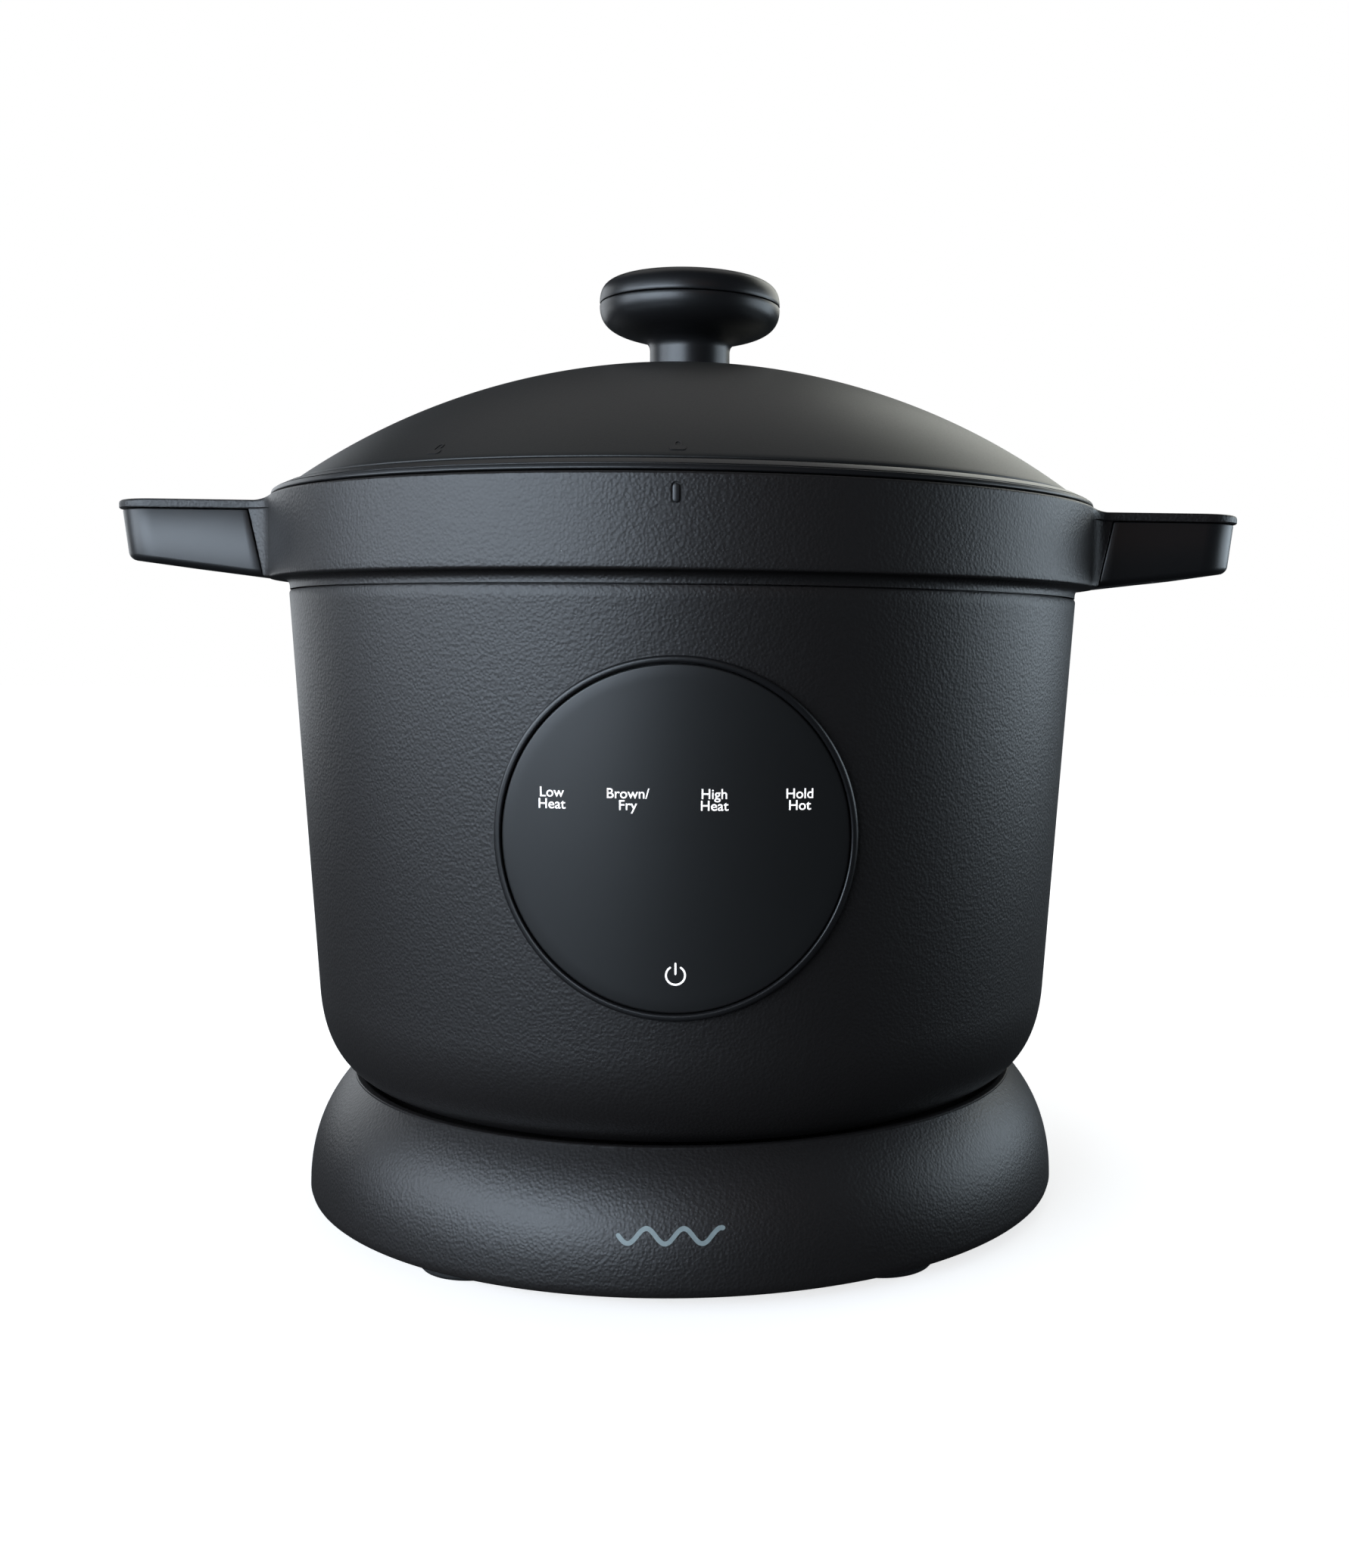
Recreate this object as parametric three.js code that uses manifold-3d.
// Electric pressure cooker: a round multi-cooker on a pedestal base, with a lid that turns and lifts off.
// Millimetres, +Z up. The origin is on the table under the centre. The panel faces -Y, the handles lie on X.

import * as THREE from 'three';
import { mergeVertices } from 'three/addons/utils/BufferGeometryUtils.js';
import Module from 'manifold-3d';

const wasm = await Module();
wasm.setup();

// ------------------------------------------------------------------ driving sizes

const joint = 0.3;               // gap left between pieces that touch
const fit = 0.4;                 // gap between a round piece and the one around it
const facets = 32;               // sides of every large turned piece

// cooking pot, removable
const potRadius = 111;           // inside
const potDepth = 160.5;          // inside
const potWall = 1.2;
const potCorner = 6;
const potFlange = 6.4;

// steel housing cup around the pot, and the heater under it
const cupGap = 2.4;
const cupWall = 1.2;
const cupFlange = 3.9;
const cupCorner = 12;
const cupHole = 12;
const plateMargin = 14.6;        // from the cup's wall to the plate
const plateThickness = 10;
const plateStand = 8.8;
const postRadius = 4;
const postInset = 10;            // from the plate's edge
const elementInset = 25;         // from the plate's edge
const elementTube = 3.5;
const elementGap = 25;           // degrees from the rear to each end of the element
const terminalRadius = 2;

// spring-loaded temperature sensor in the middle of the heater plate
const sensorRadius = 12;
const sensorTravel = 3;          // downwards from where the pot holds it
const sensorStem = 3;
const sensorSkirt = 8;

// outer shell
const shellWall = 2.2;
const shellGap = 12;             // from the cup to the foot of the shell's wall
const shellFlare = 8.3;          // how much wider the wall is at its top
const shellCornerHeight = 33;
const shellCornerWidth = 20;
const floorGap = 3.8;            // between the shell's floor and the cup
const shellHole = 24;
const shieldWall = 0.8;

// pedestal base and its feet
const footHeight = 4;
const footRadius = 18;
const footRing = 111.5;
const footAngle = 35;            // degrees from the front or the rear
const basePlateThickness = 2;
const standoffHeight = 6.7;      // base plate to power board
const boardThickness = 1.6;      // both circuit boards
const transformerHeight = 18.7;
const relayHeight = 15.7;
const capacitorHeight = 19.7;
const headRoom = 3.9;            // from the capacitor, the tallest part, to the roof
const baseWall = 2.5;
const baseFlare = 3.9;           // how far the base spreads past the foot of the shell
const baseShoulder = 11.5;       // how far its top edge lies inside the foot of the shell
const baseNest = 1;              // how far the shell sinks into the dished top of the base
const dishGap = 3;
const bossRadius = 5.5;
const screwRadius = 1.6;
const inletWidth = 27;
const inletHeight = 20;
const inletDepth = 21;
const inletWall = 1.5;
const inletSetback = 3;

// collar with its two ears, and the grips under them
const collarOverhang = 6.7;
const collarHeight = 26.9;
const collarRise = 10.9;         // above the pot's rim
const shadowGap = 3.5;           // dark groove between the shell and the collar
const collarFloor = 3;
const collarSkirt = 7.5;
const handleReach = 45;
const handleWidth = 91;
const handleDrop = 1.6;          // from the collar's top to the handle's top
const handleCorner = 14;
const lipThickness = 2.8;
const gripInset = 1.2;
const gripTipDepth = 17.1;
const gripRootDepth = 22.5;
const gripWall = 2.2;
const earRoot = 5.7;             // from the collar's outside in to the foot of the ear's face
const earLean = 5;
const handleScrewSpacing = 40;
const handleScrewInset = 22;     // from the tip
const markerHeight = 5.3;

// bayonet between the housing and the lid
const lugCount = 6;
const lugSpan = 30;              // degrees
const lugHeight = 3;
const lugReach = 3.5;
const lugClearance = 0.5;        // the lid's lugs stop this far outside the housing's lugs
const lidLugReach = 4.5;
const bayonetWall = 2.4;
const bayonetHeight = 12.7;

// lid
const sealHeight = 8;
const sealWidth = 9.5;
const sealOverlap = 1.5;         // from the pot's inside to the seal's inside
const sealWall = 2.2;
const lidPlate = 1.2;
const sleeveWall = 2;
const sleeveHeight = 20.9;
const lidGap = 0.4;
const mouthGap = 1.4;
const rimHeight = 3.6;
const rimInset = 1;              // lid rim inside the collar's outside
const domeInset = 6.6;           // dome's edge inside the rim's outside
const domeRise = 46;
const domeWall = 2.5;

// knob with the steam outlet inside it
const knobRadius = 32;
const knobBodyHeight = 21.5;
const knobCapHeight = 9.7;
const knobNeck = 14.2;
const knobWall = 3;
const pipeBore = 3;
const pipeWall = 2.2;
const valveRadius = 8;
const valveTravel = 3;           // upwards off the vent pipe

// float valve and the lid lock
const floatRing = 70;            // distance from the centre
const floatTravel = 5;
const floatStem = 2.2;
const sliderWidth = 12;
const sliderMargin = 7;          // from the slider's end to the lid's skirt
const sliderTravel = 4;
const sliderThickness = 3;
const sliderTab = 2;             // thickness of the tab that the spring pushes on
const lockSpringLength = 17.4;
const lockSpringRadius = 2.6;

// control panel on the front
const panelRadius = 53;
const panelDrop = 5.2;           // below the middle of the straight wall
const bezelWidth = 2.1;
const bezelProud = 2.2;
const coverThickness = 2.8;
const coverProud = 1.6;
const ledgeWidth = 5;
const guideThickness = 1.3;
const boardHalfWidth = 30;
const boardHalfHeight = 34;

// ------------------------------------------------------------------ radii that follow

const potOuter = potRadius + potWall;
const cupInner = potOuter + cupGap;
const cupOuter = cupInner + cupWall;
const shieldInner = cupOuter + cupGap - joint;
const shellFootInner = cupOuter + shellGap;
const shellFoot = shellFootInner + shellWall;
const shellTop = shellFoot + shellFlare;
const collarOuter = shellTop + collarOverhang;
const baseOuter = shellFoot + baseFlare;
const baseTopRadius = shellFoot - baseShoulder;

const bayonetInner = cupOuter + cupFlange + fit;
const bayonetOuter = bayonetInner + bayonetWall;
const lugOuter = bayonetOuter + lugReach;
const lidLugInner = lugOuter + lugClearance;
const lidSkirtInner = lidLugInner + lidLugReach;
const lidSkirtOuter = lidSkirtInner + lidPlate;
const sleeveInner = lidSkirtOuter + fit;
const sleeveOuter = sleeveInner + sleeveWall;
const mouthRadius = sleeveOuter + mouthGap;
const rimOuter = collarOuter - rimInset;
const domeEdge = rimOuter - domeInset;
const sealInner = potRadius + sealOverlap;
const sealOuter = sealInner + sealWidth;
const handleTip = collarOuter + handleReach;
const plateRadius = cupInner - plateMargin;
const postRing = plateRadius - postInset;
const elementRing = plateRadius - elementInset;

// ------------------------------------------------------------------ levels that follow

const baseBottom = footHeight;
const plateLow = baseBottom + joint;
const plateHigh = plateLow + basePlateThickness;
const boardLevel = plateHigh + standoffHeight;
const boardTop = boardLevel + boardThickness;
const roofBottom = boardTop + joint + capacitorHeight + headRoom;
const roofTop = roofBottom + baseWall;
const shellBottom = roofTop + dishGap;
const baseTop = shellBottom + baseNest;
const shellFloorTop = shellBottom + shellWall;
const cupBottom = shellFloorTop + floorGap;
const cupFloorTop = cupBottom + cupWall;
const plateBottom = cupFloorTop + plateStand;
const plateTop = plateBottom + plateThickness;
const potBottom = plateTop + joint;
const potFloorTop = potBottom + potWall;
const potRim = potFloorTop + potDepth;
const cupRim = potRim - potWall - joint;
const collarTop = potRim + collarRise;
const collarBottom = collarTop - collarHeight;
const shellTopLevel = collarBottom - shadowGap - joint;
const wallFoot = shellBottom + shellCornerHeight;
const collarFloorTop = collarBottom + 1;
const handleTop = collarTop - handleDrop;
const lipBottom = handleTop - lipThickness;

const sealBottom = potRim + joint;
const sealTop = sealBottom + sealHeight;
const lidPlateBottom = sealTop + joint;
const lidPlateTop = lidPlateBottom + lidPlate;
const lidLugBottom = collarFloorTop + 4;
const bayonetBottom = cupRim - bayonetHeight;
const bayonetLugBottom = lidLugBottom + lugHeight + 1;
const rimBottom = collarTop + lidGap;
const rimTop = rimBottom + rimHeight;
const domeBottom = rimTop + joint;
const domeTop = domeBottom + domeRise;
const knobBottom = domeTop + joint;
const knobSeam = knobBottom + knobBodyHeight;
const knobTop = knobSeam + joint + knobCapHeight;
const panelLevel = (wallFoot + shellTopLevel) / 2 - panelDrop;
const inletLevel = baseBottom + 5 + inletHeight / 2;

// outside radius of the tapered wall at a height
function wallRadius(level) {
  return shellFoot + shellFlare * (level - wallFoot) / (shellTopLevel - wallFoot);
}

// ------------------------------------------------------------------ solids from three.js geometry

function signedVolume(points, triangles) {
  const [a, b, c] = [new THREE.Vector3(), new THREE.Vector3(), new THREE.Vector3()];
  let volume = 0;
  for (let i = 0; i < triangles.length; i += 3) {
    a.fromArray(points, 3 * triangles[i]);
    b.fromArray(points, 3 * triangles[i + 1]);
    c.fromArray(points, 3 * triangles[i + 2]);
    volume += a.dot(b.cross(c)) / 6;
  }
  return volume;
}

function solidOf(geometry) {
  const bare = new THREE.BufferGeometry();
  bare.setAttribute('position', geometry.getAttribute('position'));
  if (geometry.index) bare.setIndex(geometry.index);
  const merged = mergeVertices(bare, 1e-4);
  const points = merged.getAttribute('position').array;
  const corners = merged.index.array;
  const triangles = [];
  for (let i = 0; i < corners.length; i += 3) {
    const [a, b, c] = [corners[i], corners[i + 1], corners[i + 2]];
    if (a !== b && b !== c && c !== a) triangles.push(a, b, c);
  }
  if (signedVolume(points, triangles) < 0) triangles.reverse();
  const vertProperties = new Float32Array(points);
  const triVerts = new Uint32Array(triangles);
  return new wasm.Manifold(new wasm.Mesh({ numProp: 3, vertProperties, triVerts }));
}

// turned piece: an outline of [radius, height] points round the Z axis
function turned(outline, sides = facets) {
  const points = outline.map(([radius, height]) => new THREE.Vector2(radius, height));
  const last = points[points.length - 1];
  if (points[0].x > 0 || last.x > 0) points.push(points[0].clone());
  return solidOf(new THREE.LatheGeometry(points, sides).rotateX(Math.PI / 2));
}

function disc(radius, low, high, sides = 20) {
  return turned([[0, low], [radius, low], [radius, high], [0, high]], sides);
}

function block([x0, x1], [y0, y1], [z0, z1]) {
  const box = new THREE.BoxGeometry(x1 - x0, y1 - y0, z1 - z0);
  return solidOf(box.translate((x0 + x1) / 2, (y0 + y1) / 2, (z0 + z1) / 2));
}

// flat outline in X and Y, given its thickness in Z
function slab(shape, low, high) {
  const settings = { depth: high - low, bevelEnabled: false, curveSegments: 4 };
  const geometry = new THREE.ExtrudeGeometry(shape, settings);
  return solidOf(geometry.translate(0, 0, low));
}

// outline in X and Z, given its width in Y about the middle
function wedge(outline, halfWidth) {
  const shape = new THREE.Shape(outline.map(([x, z]) => new THREE.Vector2(x, z)));
  const geometry = new THREE.ExtrudeGeometry(shape, { depth: 2 * halfWidth, bevelEnabled: false });
  return solidOf(geometry.translate(0, 0, -halfWidth).rotateX(Math.PI / 2));
}

// sector of a flat ring, centred on an angle from the front
function ringSector(inner, outer, low, high, middle, span) {
  const from = THREE.MathUtils.degToRad(middle - span / 2 - 90);
  const to = THREE.MathUtils.degToRad(middle + span / 2 - 90);
  const shape = new THREE.Shape();
  shape.absarc(0, 0, outer, from, to, false);
  shape.absarc(0, 0, inner, to, from, true);
  return slab(shape, low, high);
}

// round wire or tube along a list of points
function wire(points, radius, steps, sides = 6) {
  const path = new THREE.CatmullRomCurve3(points.map((point) => new THREE.Vector3(...point)));
  const section = new THREE.Shape();
  for (let i = 0; i < sides; i += 1) {
    const angle = 2 * Math.PI * i / sides;
    const corner = [radius * Math.cos(angle), radius * Math.sin(angle)];
    if (i === 0) section.moveTo(...corner);
    else section.lineTo(...corner);
  }
  return solidOf(new THREE.ExtrudeGeometry(section, { steps, extrudePath: path, bevelEnabled: false }));
}

function bezier(corners, divisions) {
  const [a, b, c, d] = corners.map(([radius, height]) => new THREE.Vector2(radius, height));
  return new THREE.CubicBezierCurve(a, b, c, d).getPoints(divisions).map((point) => [point.x, point.y]);
}

function helix(coilRadius, low, high, turns, pointsPerTurn) {
  const count = turns * pointsPerTurn;
  return Array.from({ length: count + 1 }, (_, i) => {
    const angle = 2 * Math.PI * i / pointsPerTurn;
    return [coilRadius * Math.cos(angle), coilRadius * Math.sin(angle), low + (high - low) * i / count];
  });
}

// ------------------------------------------------------------------ materials

function finish(color, roughness, metalness = 0) {
  return new THREE.MeshStandardMaterial({ color, roughness, metalness });
}

const looks = {
  grained: finish(0x28292d, 0.55),
  satin: finish(0x26282c, 0.38),
  dark: finish(0x17181a, 0.6),
  rubber: finish(0x141414, 0.85),
  silicone: finish(0xc9cdd0, 0.6),
  steel: finish(0xb9bbbd, 0.3, 1),
  aluminium: finish(0xa9abad, 0.42, 1),
  zinc: finish(0x9a9c9f, 0.4, 1),
  brass: finish(0xb08d4a, 0.35, 1),
  board: finish(0x1e5a34, 0.5),
  white: finish(0xe6e7e4, 0.5),
  component: finish(0x2b2b2d, 0.5),
  cable: finish(0x8c1f1c, 0.6),
};

function piece(name, solid, look) {
  const { numProp, vertProperties, triVerts } = solid.getMesh();
  const positions = new Float32Array(3 * vertProperties.length / numProp);
  for (let i = 0; i < positions.length / 3; i += 1) {
    for (let k = 0; k < 3; k += 1) positions[3 * i + k] = vertProperties[numProp * i + k];
  }
  const geometry = new THREE.BufferGeometry();
  geometry.setAttribute('position', new THREE.BufferAttribute(positions, 3));
  geometry.setIndex(new THREE.BufferAttribute(new Uint32Array(triVerts), 1));
  geometry.computeVertexNormals();
  const mesh = new THREE.Mesh(geometry, look);
  mesh.name = name;
  return mesh;
}

function group(...children) {
  const assembly = new THREE.Group();
  assembly.add(...children);
  return assembly;
}

function at(object, x, y, z = 0) {
  object.position.set(x, y, z);
  return object;
}

// ------------------------------------------------------------------ base

const footPlaces = [-1, 1].flatMap((front) => [-1, 1].map((side) => {
  const angle = THREE.MathUtils.degToRad(footAngle);
  return [side * footRing * Math.sin(angle), front * footRing * Math.cos(angle)];
}));

function baseOutline(inset, low, divisions) {
  const top = baseTop - inset;
  return bezier([
    [baseOuter - inset, low],
    [baseOuter - inset - 0.3, low + 15],
    [baseOuter - inset - 6.4, top - 11.5],
    [baseTopRadius - inset / 2, top],
  ], divisions);
}

function baseShell() {
  const outline = [
    [baseOuter - 1.2, baseBottom],
    ...baseOutline(0, baseBottom + 1.2, 5),
    [baseTopRadius - 2.2, baseTop],
    [baseTopRadius - 8, roofTop],
    [shellHole - 2, roofTop],
    [shellHole - 2, roofBottom],
    [baseTopRadius - 7, roofBottom],
    ...baseOutline(baseWall, baseBottom + 4, 4).reverse(),
    [baseOuter - 1.2 - baseWall, baseBottom],
  ];
  let shell = turned(outline);
  for (const [x, y] of footPlaces) {
    const boss = disc(bossRadius, baseBottom + 3, roofBottom + 1, 12).translate([x, y, 0]);
    const hole = disc(screwRadius + joint, baseBottom, baseBottom + 20, 8).translate([x, y, 0]);
    shell = shell.add(boss).subtract(hole);
  }
  const half = inletWidth / 2 + fit;
  const rise = inletHeight / 2 + fit;
  const slot = block([-half, half], [baseOuter - 30, baseOuter + 5], [inletLevel - rise, inletLevel + rise]);
  return shell.subtract(slot);
}

const standoffs = [[-38, -44], [38, -44], [-38, 24], [38, 24]];

function basePlate() {
  let plate = disc(baseOuter - 1.2 - baseWall - fit, plateLow, plateHigh, facets);
  for (const [x, y] of standoffs) {
    plate = plate.add(disc(2.6, plateHigh - 0.5, boardLevel - joint, 8).translate([x, y, 0]));
  }
  for (const [x, y] of footPlaces) {
    plate = plate.subtract(disc(screwRadius + 1, 0, plateHigh + 5, 8).translate([x, y, 0]));
  }
  for (const row of [-72, 58]) {
    for (let i = -4; i <= 4; i += 1) {
      plate = plate.subtract(block([9 * i - 2, 9 * i + 2], [row - 9, row + 9], [0, plateHigh + 5]));
    }
  }
  return plate;
}

function foot() {
  return turned([
    [4.8, 0], [footRadius - 1, 0], [footRadius, 1], [footRadius, footHeight],
    [screwRadius + 0.8, footHeight], [screwRadius + 0.8, footHeight / 2 + 0.4], [4.8, footHeight / 2 + 0.4],
  ], 14);
}

function baseScrew() {
  const headTop = footHeight / 2 + 0.4 - joint;
  return turned([
    [0, headTop - 1.2], [4.2, headTop - 1.2], [4.2, headTop],
    [screwRadius, headTop], [screwRadius, baseBottom + 17], [0, baseBottom + 17],
  ], 8);
}

function neckRing() {
  const low = roofTop + joint;
  const high = shellBottom - joint;
  return turned([[shellHole + 2, low], [80, low], [80, high], [shellHole + 2, high]]);
}

const inletFace = baseOuter - inletSetback - baseFlare;
const pinLevels = { line: [-7, -2], neutral: [7, -2], earth: [0, 2] };

function powerInlet() {
  const half = inletWidth / 2;
  const rise = inletHeight / 2;
  const cavity = block(
    [-half + inletWall, half - inletWall],
    [inletFace - 16, inletFace + 1],
    [inletLevel - rise + inletWall + 0.25, inletLevel + rise - inletWall - 0.25],
  );
  const levels = [inletLevel - rise, inletLevel + rise];
  let inlet = block([-half, half], [inletFace - inletDepth, inletFace], levels);
  inlet = inlet.subtract(cavity);
  for (const [x, lift] of Object.values(pinLevels)) {
    const z = inletLevel + lift;
    inlet = inlet.subtract(block([x - 1.3, x + 1.3], [inletFace - 40, inletFace - 10], [z - 2.3, z + 2.3]));
  }
  return inlet;
}

function inletPin([x, rise]) {
  const z = inletLevel + rise;
  return block([x - 1, x + 1], [inletFace - inletDepth - 2, inletFace - 6], [z - 2, z + 2]);
}

// levels of a component of a given height that stands on the power board
function onBoard(height) {
  return [boardTop + joint, boardTop + joint + height];
}

const base = group(
  piece('base_shell', baseShell(), looks.grained),
  piece('base_plate', basePlate(), looks.dark),
  ...footPlaces.map(([x, y], i) => at(piece(`foot_${i + 1}`, foot(), looks.rubber), x, y)),
  ...footPlaces.map(([x, y], i) => at(piece(`base_screw_${i + 1}`, baseScrew(), looks.zinc), x, y)),
  piece('neck_ring', neckRing(), looks.dark),
  piece('power_inlet', powerInlet(), looks.dark),
  piece('line_pin', inletPin(pinLevels.line), looks.brass),
  piece('neutral_pin', inletPin(pinLevels.neutral), looks.brass),
  piece('earth_pin', inletPin(pinLevels.earth), looks.brass),
  piece('power_board', block([-42, 42], [-48, 28], [boardLevel, boardTop]), looks.board),
  piece('transformer', block([-36, -12], [-30, -10], onBoard(transformerHeight)), looks.brass),
  piece('relay', block([12, 32], [-36, -20], onBoard(relayHeight)), looks.component),
  at(piece('capacitor', disc(6.5, ...onBoard(capacitorHeight), 14), looks.component), -22, 12),
);

// ------------------------------------------------------------------ outer shell

function shellCurve(inset, divisions) {
  const foot = shellFoot - inset;
  const low = shellBottom + inset;
  return bezier([
    [foot - shellCornerWidth + inset / 3, low],
    [foot - 5, low + 6],
    [foot - 0.8, low + 18 - inset],
    [foot, wallFoot],
  ], divisions);
}

function bodyShell() {
  const shell = turned([
    [shellHole, shellBottom],
    ...shellCurve(0, 4),
    [shellTop, shellTopLevel],
    [shellTop - shellWall, shellTopLevel],
    ...shellCurve(shellWall, 4).reverse(),
    [shellHole, shellFloorTop],
  ]);
  return shell.subtract(panelCylinder(panelRadius - bezelWidth / 2 + fit));
}

// short cylinder lying along Y at the front, used to trim every piece of the panel
function panelCylinder(radius) {
  const geometry = new THREE.CylinderGeometry(radius, radius, shellFoot, 40);
  return solidOf(geometry.translate(0, -shellFoot, panelLevel));
}

// layer of the tapered wall, between two depths measured outwards from its outside face
function wallLayer(inner, outer) {
  const low = panelLevel - panelRadius - 2;
  const high = panelLevel + panelRadius + 2;
  return turned([
    [wallRadius(low) + inner, low], [wallRadius(low) + outer, low],
    [wallRadius(high) + outer, high], [wallRadius(high) + inner, high],
  ]);
}

function panelLayer(radius, inner, outer) {
  return wallLayer(inner, outer).intersect(panelCylinder(radius));
}

const coverInner = coverProud - coverThickness;
const ledgeOuter = coverInner - joint;
const ledgeInner = ledgeOuter - 1.5;
const guideOuter = ledgeInner - joint;
const guideInner = guideOuter - guideThickness;
const coverRadius = panelRadius - bezelWidth - joint;

function panelBezel() {
  const wallOutside = panelRadius - bezelWidth / 2;
  const flange = panelLayer(panelRadius, joint, bezelProud);
  const sleeve = panelLayer(wallOutside, ledgeInner, joint + 0.2);
  const bore = panelLayer(panelRadius - bezelWidth, ledgeOuter, bezelProud + 3);
  const hole = panelLayer(panelRadius - ledgeWidth, ledgeInner - 3, ledgeOuter + 1);
  return flange.add(sleeve).subtract(bore).subtract(hole);
}

const guideRadius = wallRadius(panelLevel - boardHalfHeight) + guideInner;
const boardFront = Math.sqrt(guideRadius ** 2 - boardHalfWidth ** 2) - 1;

function controlBoard() {
  const y = -boardFront;
  const low = panelLevel - boardHalfHeight;
  return block([-boardHalfWidth, boardHalfWidth], [y, y + boardThickness], [low, low + 2 * boardHalfHeight]);
}

function panelCable() {
  const y = -boardFront + 0.6;
  const run = shellFloorTop + floorGap / 2;
  return wire([
    [8, y, panelLevel - boardHalfHeight - 1.6],
    [8, y, wallFoot + 10],
    [8, y + 1, wallFoot - 10],
    [8, y + 9.4, cupBottom + 2.5],
    [8, y + 18, run],
    [8, y + 62, run],
    [8, -20, run],
    [8, -13, run - 3],
    [8, -12, roofBottom - 3],
    [8, -14, boardTop + 1.6],
  ], 1.1, 22);
}

const body = group(
  piece('body_shell', bodyShell(), looks.grained),
  piece('panel_bezel', panelBezel(), looks.satin),
  piece('panel_cover', panelLayer(coverRadius, coverInner, coverProud), looks.satin),
  piece('light_guide', panelLayer(panelRadius - ledgeWidth - joint, guideInner, guideOuter), looks.white),
  piece('control_board', controlBoard(), looks.board),
  piece('panel_cable', panelCable(), looks.cable),
);

// ------------------------------------------------------------------ collar, ears and grips

// the handle's outline seen from above, on the +X side
function handleOutline(root, inset, corner) {
  const tip = handleTip - inset;
  const half = handleWidth / 2 - inset;
  const shape = new THREE.Shape();
  shape.moveTo(root, -half);
  shape.lineTo(tip - corner, -half);
  shape.absarc(tip - corner, -half + corner, corner, -Math.PI / 2, 0, false);
  shape.absarc(tip - corner, half - corner, corner, 0, Math.PI / 2, false);
  shape.lineTo(root, half);
  return shape;
}

const earFoot = collarOuter - earRoot;
const earInside = collarOuter - 16;
const screwX = handleTip - handleScrewInset;
const screwRows = [-handleScrewSpacing / 2, handleScrewSpacing / 2];
const bossBottom = lipBottom - 12;

function ear() {
  let solid = slab(handleOutline(earInside, 0, handleCorner), lipBottom, handleTop);
  const stem = wedge([
    [earInside, collarBottom], [earFoot, collarBottom],
    [earFoot + earLean, lipBottom + 0.5], [earInside, lipBottom + 0.5],
  ], handleWidth / 2 - gripInset);
  solid = solid.add(stem);
  for (const y of screwRows) {
    const boss = disc(4, bossBottom, lipBottom + 0.5, 10).translate([screwX, y, 0]);
    solid = solid.add(boss).subtract(disc(1.7, bossBottom - 1, lipBottom - 1, 8).translate([screwX, y, 0]));
  }
  return solid;
}

function marker() {
  const radius = 1;
  const half = markerHeight / 2 - radius;
  const level = collarTop - 6;
  const shape = new THREE.Shape();
  shape.absarc(0, half, radius, 0, Math.PI, false);
  shape.absarc(0, -half, radius, Math.PI, 2 * Math.PI, false);
  return slab(shape, collarOuter - 1, collarOuter).rotate([90, 0, 0]).translate([0, 0, level]);
}

function collar() {
  const skirtOuter = wallRadius(shellTopLevel - collarSkirt) - shellWall - fit;
  const skirtBottom = shellTopLevel - collarSkirt;
  const neck = shellTop - 1.3;
  let ring = turned([
    [cupOuter + cupGap, collarFloorTop - collarFloor],
    [skirtOuter - 2.5, collarFloorTop - collarFloor],
    [skirtOuter - 2.5, skirtBottom],
    [skirtOuter, skirtBottom],
    [skirtOuter, shellTopLevel + joint],
    [neck, shellTopLevel + joint],
    [neck, collarBottom],
    [collarOuter - 0.8, collarBottom],
    [collarOuter, collarBottom + 0.8],
    [collarOuter, collarTop - 0.8],
    [collarOuter - 0.8, collarTop],
    [mouthRadius, collarTop],
    [mouthRadius, collarFloorTop],
    [cupOuter + cupGap, collarFloorTop],
  ]);
  const mouth = disc(mouthRadius, collarFloorTop, collarTop + 1, facets);
  const right = ear().subtract(mouth);
  ring = ring.add(right).add(right.rotate([0, 0, 180]));
  const proud = marker().intersect(disc(collarOuter, collarBottom, collarTop, 4 * facets));
  return ring.add(proud);
}

function gripSolid(inset, high) {
  const tip = handleTip - gripInset - inset;
  const side = wedge([
    [earFoot + earLean + joint, high],
    [tip, high],
    [tip - 2, lipBottom - gripTipDepth + inset],
    [earFoot + 2 * joint, lipBottom - gripRootDepth + inset],
  ], handleWidth / 2);
  const plan = handleOutline(earInside, gripInset + inset, handleCorner - gripInset - inset);
  const room = disc(collarOuter + joint + inset, collarBottom - 10, high + 1, facets);
  return side.intersect(slab(plan, collarBottom - 10, high + 1)).subtract(room);
}

function grip() {
  let solid = gripSolid(0, lipBottom - joint).subtract(gripSolid(gripWall, lipBottom + 6));
  for (const y of screwRows) {
    const post = disc(5.4, bossBottom - 5.7, bossBottom - joint, 12).translate([screwX, y, 0]);
    const bore = disc(2, bossBottom - 20, bossBottom + 1, 8).translate([screwX, y, 0]);
    const sink = disc(4, bossBottom - 20, bossBottom - 2.6, 12).translate([screwX, y, 0]);
    solid = solid.add(post).subtract(bore).subtract(sink);
  }
  return solid;
}

function handleScrew() {
  const seat = bossBottom - 2.6 - joint;
  return turned([
    [0, seat - 1.8], [3.4, seat - 1.8], [3.4, seat],
    [1.3, seat], [1.3, lipBottom - 2], [0, lipBottom - 2],
  ], 8);
}

const gripRight = grip();
const handleScrewPlaces = [-1, 1].flatMap((side) => screwRows.map((y) => [side * screwX, y]));

const top = group(
  piece('collar', collar(), looks.grained),
  piece('grip_right', gripRight, looks.satin),
  piece('grip_left', gripRight.rotate([0, 0, 180]), looks.satin),
  ...handleScrewPlaces.map(([x, y], i) => (
    at(piece(`handle_screw_${i + 1}`, handleScrew(), looks.zinc), x, y)
  )),
);

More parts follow.
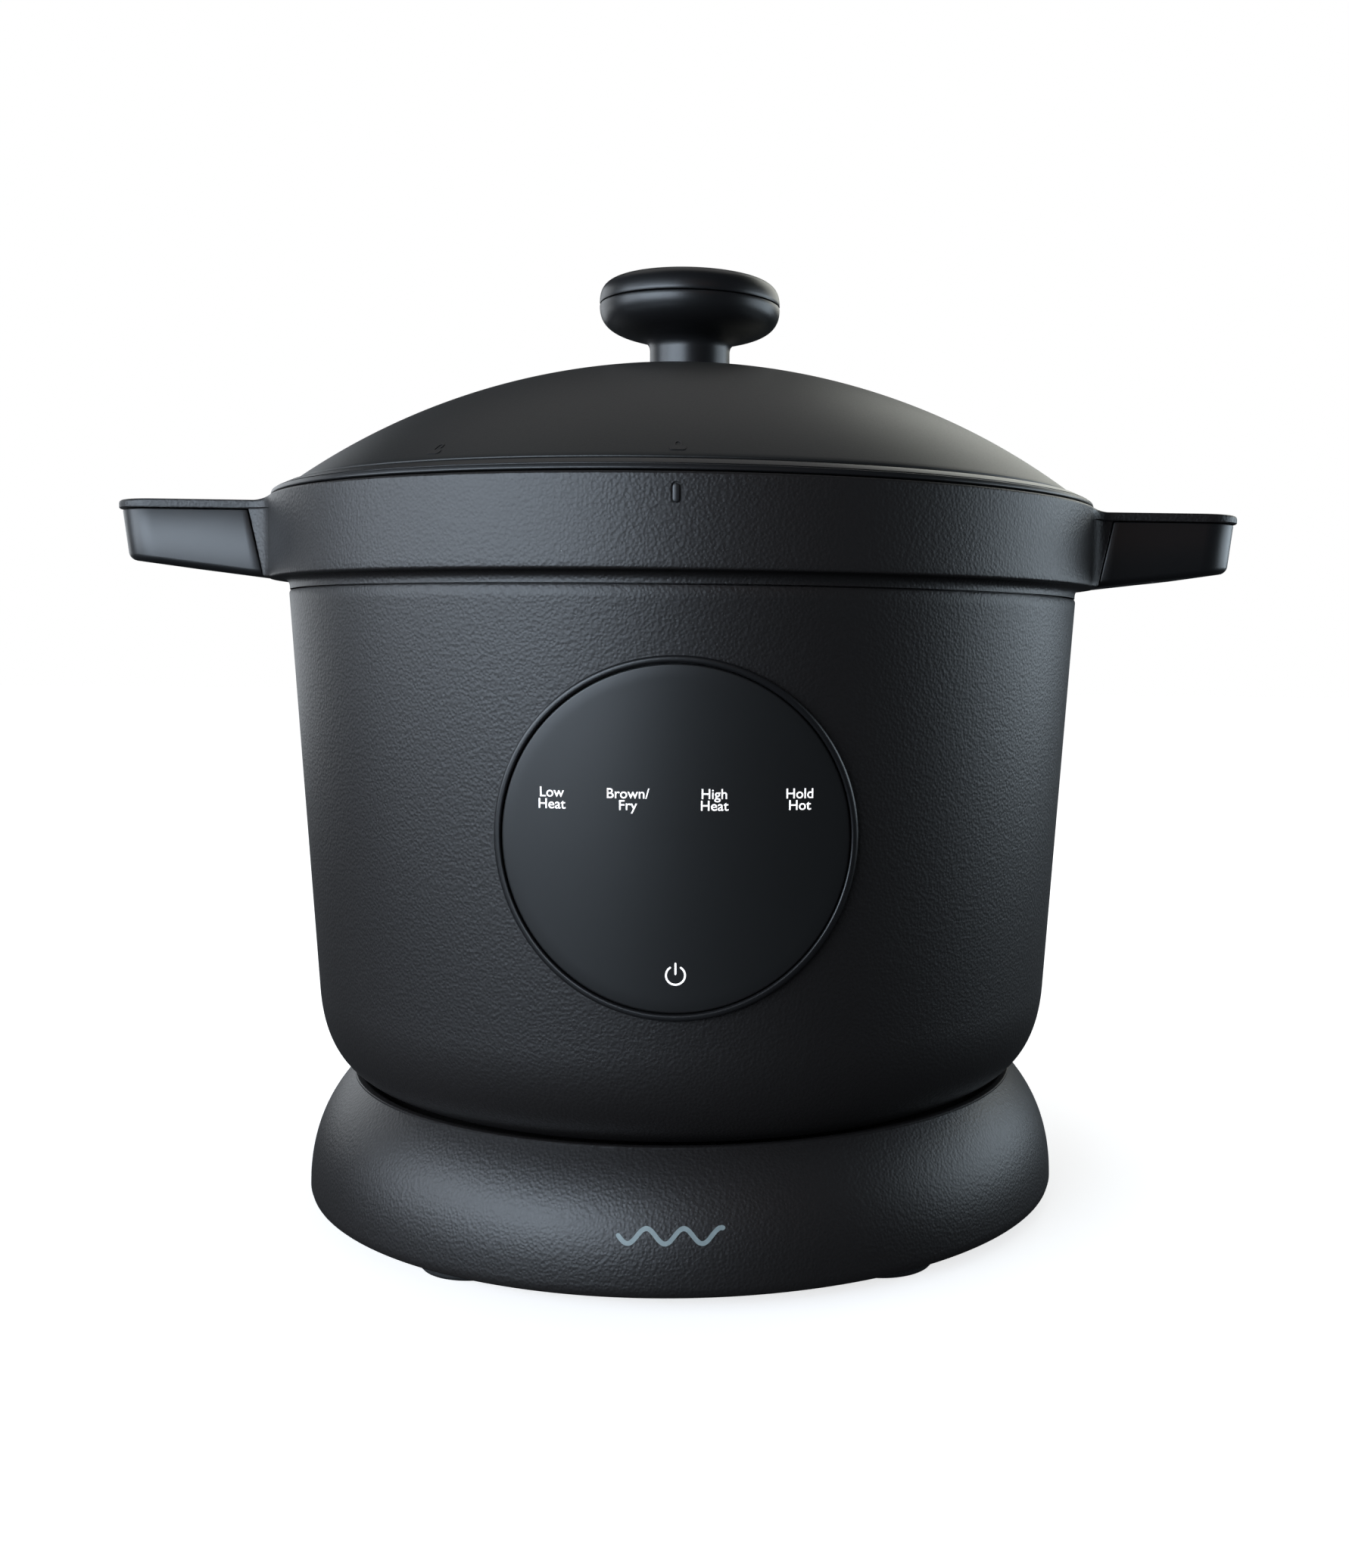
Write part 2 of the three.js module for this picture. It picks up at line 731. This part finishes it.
// ------------------------------------------------------------------ heating chamber

function housingCup() {
  let cup = turned([
    [cupHole, cupBottom], [cupOuter - cupCorner, cupBottom], [cupOuter, cupBottom + cupCorner],
    [cupOuter, cupRim - cupWall], [cupOuter + cupFlange, cupRim - cupWall], [cupOuter + cupFlange, cupRim],
    [cupInner, cupRim], [cupInner, cupFloorTop + cupCorner - 1], [cupInner - cupCorner + 1, cupFloorTop],
    [cupHole, cupFloorTop],
  ]);
  for (const [x, y] of terminalPlaces()) {
    cup = cup.subtract(disc(terminalRadius + 2.5, cupBottom - 1, cupFloorTop + 1, 10).translate([x, y, 0]));
  }
  return cup;
}

function bayonetRing() {
  let ring = turned([
    [cupOuter + fit, bayonetBottom], [bayonetOuter, bayonetBottom], [bayonetOuter, cupRim],
    [bayonetInner, cupRim], [bayonetInner, bayonetBottom + 2], [cupOuter + fit, bayonetBottom + 2],
  ]);
  for (let i = 0; i < lugCount; i += 1) {
    const [low, middle] = [bayonetLugBottom, 360 * i / lugCount];
    ring = ring.add(ringSector(bayonetOuter - 1, lugOuter, low, low + lugHeight, middle, lugSpan));
  }
  return ring;
}

function heaterPlate() {
  const hole = sensorRadius + 2;
  let plate = turned([
    [hole, plateBottom], [plateRadius - 2, plateBottom], [plateRadius, plateBottom + 2],
    [plateRadius, plateTop - 1], [plateRadius - 1, plateTop], [hole, plateTop],
  ]);
  for (let i = 0; i < 3; i += 1) {
    const post = disc(postRadius, cupFloorTop + joint, plateBottom + 0.5, 8);
    plate = plate.add(post.translate([0, -postRing, 0]).rotate([0, 0, 120 * i]));
  }
  return plate;
}

function terminalPlaces() {
  return [-1, 1].map((side) => {
    const angle = THREE.MathUtils.degToRad(elementGap);
    return [side * elementRing * Math.sin(angle), elementRing * Math.cos(angle)];
  });
}

function heatingElement() {
  const level = plateBottom - joint - elementTube;
  const count = 16;
  const points = Array.from({ length: count + 1 }, (_, i) => {
    const angle = THREE.MathUtils.degToRad(90 + elementGap + (360 - 2 * elementGap) * i / count);
    return [elementRing * Math.cos(angle), elementRing * Math.sin(angle), level];
  });
  let element = wire(points, elementTube, 2 * count);
  for (const [x, y] of terminalPlaces()) {
    element = element.add(disc(terminalRadius, cupBottom - 2.8, level, 8).translate([x, y, 0]));
  }
  return element;
}

const sensorTop = plateTop;
const bracketTop = plateTop - sensorSkirt - sensorTravel - 4.3;

function sensorCap() {
  return turned([
    [0, bracketTop - 2], [sensorStem, bracketTop - 2], [sensorStem, sensorTop - 2],
    [sensorRadius - 1.2, sensorTop - 2], [sensorRadius - 1.2, sensorTop - sensorSkirt],
    [sensorRadius, sensorTop - sensorSkirt], [sensorRadius, sensorTop - 0.6],
    [sensorRadius - 0.6, sensorTop], [0, sensorTop],
  ], 16);
}

function sensorSpring() {
  return wire(helix(6, bracketTop + 1, sensorTop - 3, 4, 8), 0.7, 40, 4);
}

function sensorBracket() {
  const low = cupFloorTop + joint;
  return turned([
    [sensorStem + 0.8, bracketTop - 1.2], [14.8, bracketTop - 1.2], [14.8, low], [22, low],
    [22, low + 1.2], [16, low + 1.2], [16, bracketTop], [sensorStem + 0.8, bracketTop],
  ], 16);
}

function heatShield() {
  const low = wallFoot - 4;
  const high = shellTopLevel - collarSkirt - 1;
  const outer = shieldInner + shieldWall;
  return turned([[shieldInner, low], [outer, low], [outer, high], [shieldInner, high]]);
}

function heaterLead() {
  const [x, y] = terminalPlaces()[1];
  const run = shellFloorTop + floorGap / 2;
  const start = y - terminalRadius - 1.6;
  return wire([
    [x, start, run], [(x + 14) / 2, (start + 23) / 2, run], [14, 23, run],
    [13, 15, run - 2], [15, 9, roofBottom - 8], [18, 4, boardTop + 1.6],
  ], 1.1, 16);
}

// fuse lying along X in the wiring hole of the shell's floor
function thermalFuse() {
  return disc(2.6, -8, 8, 10).rotate([0, 90, 0]).translate([0, 13, shellBottom + 1]);
}

const chamber = group(
  piece('housing_cup', housingCup(), looks.steel),
  piece('bayonet_ring', bayonetRing(), looks.steel),
  piece('heat_shield', heatShield(), looks.aluminium),
  piece('heater_plate', heaterPlate(), looks.aluminium),
  piece('heating_element', heatingElement(), looks.steel),
  piece('sensor_cap', sensorCap(), looks.aluminium),
  piece('sensor_spring', sensorSpring(), looks.steel),
  piece('sensor_bracket', sensorBracket(), looks.zinc),
  piece('pressure_switch', block([-18, -4], [-6, 6], [roofTop + 0.5, cupBottom - 1]), looks.component),
  piece('thermal_fuse', thermalFuse(), looks.white),
  piece('heater_lead', heaterLead(), looks.cable),
);

// ------------------------------------------------------------------ inner pot

function innerPot() {
  const r = potCorner * 0.3;
  return turned([
    [0, potBottom], [potOuter - potCorner, potBottom],
    [potOuter - r, potBottom + r], [potOuter, potBottom + potCorner],
    [potOuter, potRim - potWall], [potOuter + potFlange, potRim - potWall], [potOuter + potFlange, potRim],
    [potRadius, potRim], [potRadius, potBottom + potCorner + 0.5], [potRadius - r, potFloorTop + r],
    [potOuter - potCorner - 0.5, potFloorTop], [0, potFloorTop],
  ]);
}

// ------------------------------------------------------------------ lid

const sealWeb = 3;

function sealingRing() {
  const inside = sealInner + sealWall;
  const outside = sealOuter - sealWall - 0.6;
  return turned([
    [sealInner, sealTop], [sealInner, sealBottom + 0.5], [inside, sealBottom], [inside, sealTop - sealWeb],
    [outside, sealTop - sealWeb], [outside, sealBottom], [sealOuter, sealBottom + 0.5], [sealOuter, sealTop],
  ]);
}

function sealRack() {
  const middle = (sealInner + sealOuter - 0.6) / 2;
  const level = sealTop - sealWeb - joint - 1.2;
  return turned([[middle - 1.4, level], [middle, level - 1.2], [middle + 1.4, level], [middle, level + 1.2]]);
}

const pipeOuter = pipeBore + pipeWall;
const sliderEnd = floatRing - floatStem - sliderTravel - 2 * fit - sliderTab;
const sliderTip = lidSkirtInner - sliderMargin;
const springPost = sliderEnd - lockSpringLength - 2 * joint;

function lidInner() {
  let plate = turned([
    [0, lidPlateBottom], [lidSkirtInner, lidPlateBottom], [lidSkirtInner, lidLugBottom],
    [lidSkirtOuter, lidLugBottom], [lidSkirtOuter, lidPlateTop], [0, lidPlateTop],
  ]);
  for (let i = 0; i < lugCount; i += 1) {
    const outer = lidSkirtInner + lidPlate / 2;
    const middle = 360 * i / lugCount;
    const low = lidLugBottom;
    plate = plate.add(ringSector(lidLugInner, outer, low, low + lugHeight, middle, lugSpan));
  }
  plate = plate.add(block([-5, 5], [springPost - 3, springPost], [lidPlateTop - 0.4, lidPlateTop + 7]));
  plate = plate.subtract(disc(pipeOuter, lidPlateBottom - 1, lidPlateTop + 1, 14));
  const hole = disc(floatStem + 0.6, lidPlateBottom - 1, lidPlateTop + 1, 10);
  return plate.subtract(hole.translate([0, floatRing, 0]));
}

function lidRing() {
  return turned([
    [sleeveInner, rimTop - sleeveHeight], [sleeveOuter, rimTop - sleeveHeight], [sleeveOuter, rimBottom],
    [rimOuter - 0.5, rimBottom], [rimOuter, rimBottom + 0.4], [rimOuter - 0.1, rimBottom + 1.8],
    [rimOuter - 1.1, rimBottom + 2.2], [rimOuter - 1.3, rimTop - 0.6], [rimOuter - 2, rimTop],
    [sleeveInner, rimTop],
  ]);
}

const domeSphere = (domeEdge ** 2 + domeRise ** 2) / (2 * domeRise);

function domeArc(radius, hole, divisions) {
  const centre = domeTop - domeSphere;
  const from = Math.asin(hole / radius);
  const to = Math.acos((domeBottom - centre) / radius);
  return Array.from({ length: divisions + 1 }, (_, i) => {
    const angle = from + (to - from) * i / divisions;
    return [radius * Math.sin(angle), centre + radius * Math.cos(angle)];
  });
}

function lidDome() {
  const hole = pipeOuter + 0.8;
  return turned([...domeArc(domeSphere, hole, 7), ...domeArc(domeSphere - domeWall, hole, 5).reverse()]);
}

function knobBody() {
  const low = knobBottom;
  const neckTop = low + 6.5;
  const bore = pipeOuter + 1.2;
  let solid = turned([
    [bore, low], [knobNeck, low], [knobNeck, neckTop], [knobNeck + 0.8, neckTop + 2],
    [knobRadius - 10, neckTop + 4.5], [knobRadius - 3, neckTop + 7], [knobRadius - 1, neckTop + 9.5],
    [knobRadius, knobSeam - 3], [knobRadius, knobSeam], [knobRadius - knobWall - 1, knobSeam],
    [knobRadius - knobWall - 2, knobSeam - 5.5], [knobRadius - 12, neckTop + 7.3],
    [knobNeck - 2, neckTop + 4], [knobNeck - 2, neckTop], [bore, neckTop],
  ], 24);
  const slot = block([-1.6, 1.6], [knobNeck + 2.5, knobRadius - 6], [neckTop - 1, knobSeam - 6]);
  for (const side of [-1, 0, 1]) {
    solid = solid.subtract(slot.rotate([0, 0, 40 * side]));
  }
  return solid;
}

function knobCap() {
  const low = knobSeam + joint;
  const spigot = knobRadius - knobWall - 2.6;
  return turned([
    [knobRadius, low], [knobRadius, knobTop - 7.5], [knobRadius - 0.9, knobTop - 4.7],
    [knobRadius - 3.4, knobTop - 2.3], [knobRadius - 7.5, knobTop - 0.8], [knobRadius - 14, knobTop - 0.25],
    [0, knobTop],
    [0, knobTop - 2.6], [knobRadius - 14, knobTop - 2.9], [knobRadius - 10, knobTop - 3.7], [spigot - 2, low + 4.2],
    [spigot - 2, low - 3], [spigot, low - 3], [spigot, low],
  ], 24);
}

const pipeTop = knobBottom + 6.3;

function ventPipe() {
  const seat = lidPlateTop + joint;
  return turned([
    [pipeBore, lidPlateBottom - 3.5], [pipeOuter - 0.4, lidPlateBottom - 3.5], [pipeOuter - 0.4, seat],
    [pipeOuter + 3, seat], [pipeOuter + 3, seat + 2], [pipeOuter, seat + 2],
    [pipeOuter, pipeTop], [pipeBore, pipeTop],
  ], 14);
}

function knobNut() {
  const high = domeTop - domeWall - 0.8;
  return disc(pipeOuter + 5, high - 4, high, 6).subtract(disc(pipeOuter + 0.6, high - 5, high + 1, 14));
}

function releaseValve() {
  const seat = pipeTop + joint;
  return turned([
    [0, seat - valveTravel - 1.5], [pipeBore - 0.8, seat - valveTravel - 0.5],
    [pipeBore - 0.6, seat], [valveRadius, seat], [valveRadius, seat + 5],
    [valveRadius - 1.5, seat + 6.5], [0, seat + 6.5],
  ], 14);
}

const floatHeadTop = lidPlateBottom - floatTravel - joint - 1.7;

function floatValve() {
  const stemTop = lidPlateTop + joint + sliderThickness + 7;
  return turned([
    [0, floatHeadTop - 2.4], [4.4, floatHeadTop - 2.4], [4.4, floatHeadTop], [floatStem, floatHeadTop],
    [floatStem, stemTop], [floatStem + 1.2, stemTop], [floatStem + 1.2, stemTop + 2], [0, stemTop + 2],
  ], 10);
}

function floatSeal() {
  const low = floatHeadTop + joint;
  return turned([[floatStem + 0.3, low], [4.2, low], [4.2, low + 1.2], [floatStem + 0.3, low + 1.2]], 10);
}

function lockSlider() {
  const low = lidPlateTop + fit;
  const half = sliderWidth / 2;
  const bar = block([-half, half], [sliderEnd, sliderTip], [low, low + sliderThickness]);
  const tab = block([-half, half], [sliderEnd, sliderEnd + sliderTab], [low, lidPlateTop + 7]);
  const reach = floatStem + 0.8;
  const ends = [floatRing - reach - sliderTravel, floatRing + reach];
  return bar.add(tab).subtract(block([-reach, reach], ends, [low - 1, low + sliderThickness + 1]));
}

function lockSpring() {
  const level = lidPlateTop + fit + lockSpringRadius + 0.6;
  const coil = wire(helix(lockSpringRadius, 0.6, lockSpringLength - 0.6, 5, 8), 0.45, 40, 4);
  return coil.rotate([-90, 0, 0]).translate([0, springPost + joint, level]);
}

const lid = group(
  piece('sealing_ring', sealingRing(), looks.silicone),
  piece('seal_rack', sealRack(), looks.steel),
  piece('lid_inner', lidInner(), looks.steel),
  piece('lid_ring', lidRing(), looks.satin),
  piece('lid_dome', lidDome(), looks.grained),
  piece('knob_body', knobBody(), looks.satin),
  piece('knob_cap', knobCap(), looks.satin),
  piece('vent_pipe', ventPipe(), looks.steel),
  piece('knob_nut', knobNut(), looks.zinc),
  piece('release_valve', releaseValve(), looks.steel),
  at(piece('float_valve', floatValve(), looks.steel), 0, floatRing),
  at(piece('float_seal', floatSeal(), looks.silicone), 0, floatRing),
  piece('lock_slider', lockSlider(), looks.white),
  piece('lock_spring', lockSpring(), looks.steel),
);

export default group(base, body, top, chamber, piece('inner_pot', innerPot(), looks.steel), lid);
